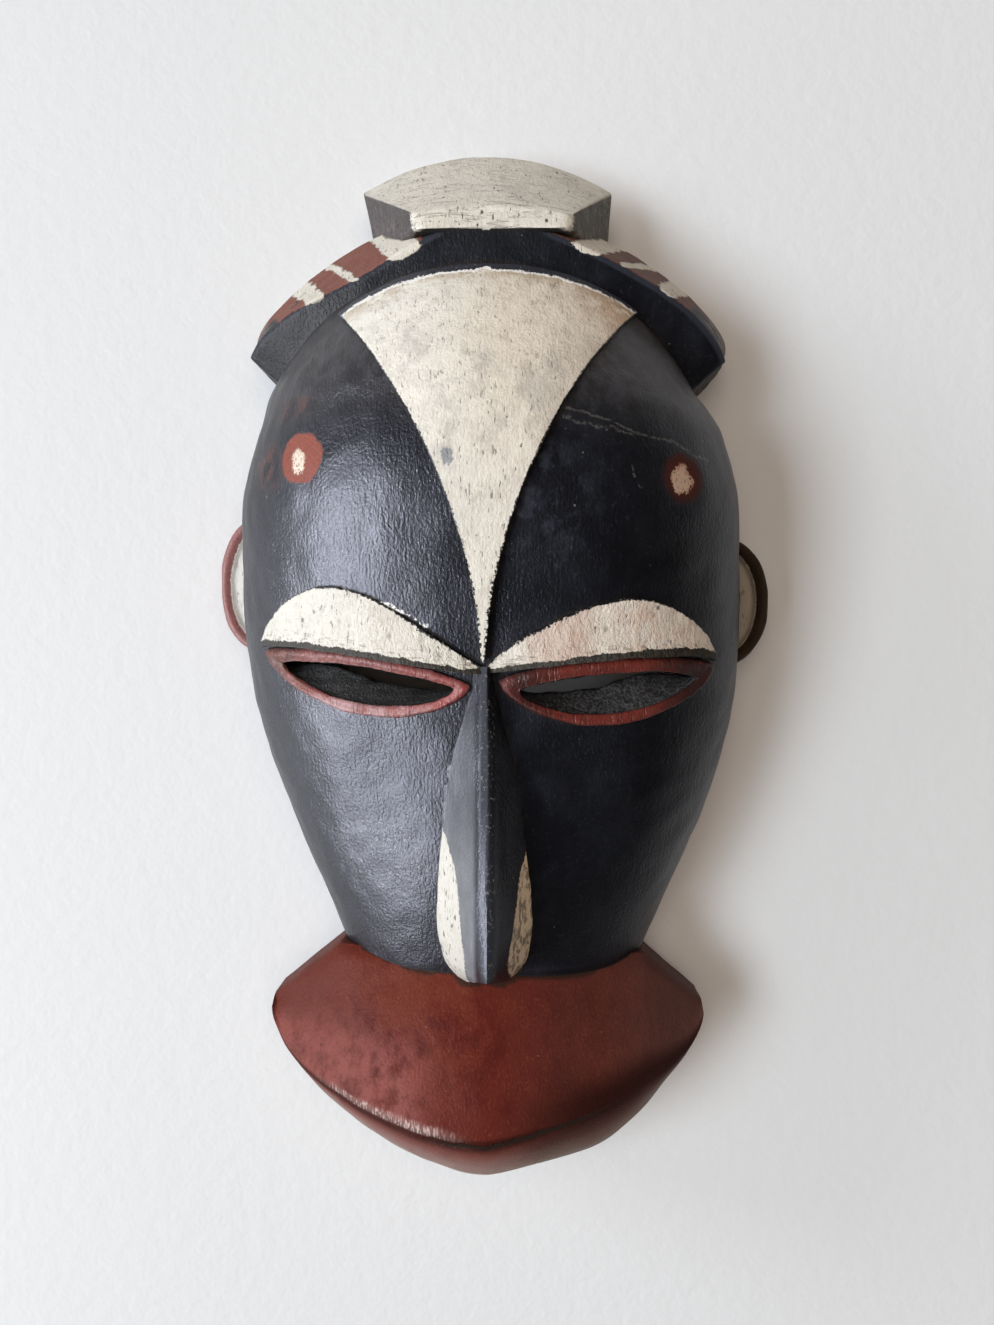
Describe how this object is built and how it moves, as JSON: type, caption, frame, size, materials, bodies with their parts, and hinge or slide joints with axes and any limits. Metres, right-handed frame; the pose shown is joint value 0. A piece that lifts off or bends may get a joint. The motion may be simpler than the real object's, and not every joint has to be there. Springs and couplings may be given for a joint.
{
  "type": "galoa mask",
  "caption": "Carved and painted wooden face mask with a hollow back, slit eyes, a crest over a hair band, side ears and a broad fan-shaped beard.",
  "frame": {"origin": "in the plane of the back rim, under the middle of the outline seen from the front", "axes": "+X to the viewer's right, +Y to the crest, +Z out of the face"},
  "size_m": [0.181, 0.3268, 0.1002],
  "materials": {
    "painted_wood": "satin paint over carved wood"
  },
  "bodies": {
    "root": {"mask": "painted_wood"}
  },
  "joints": []
}
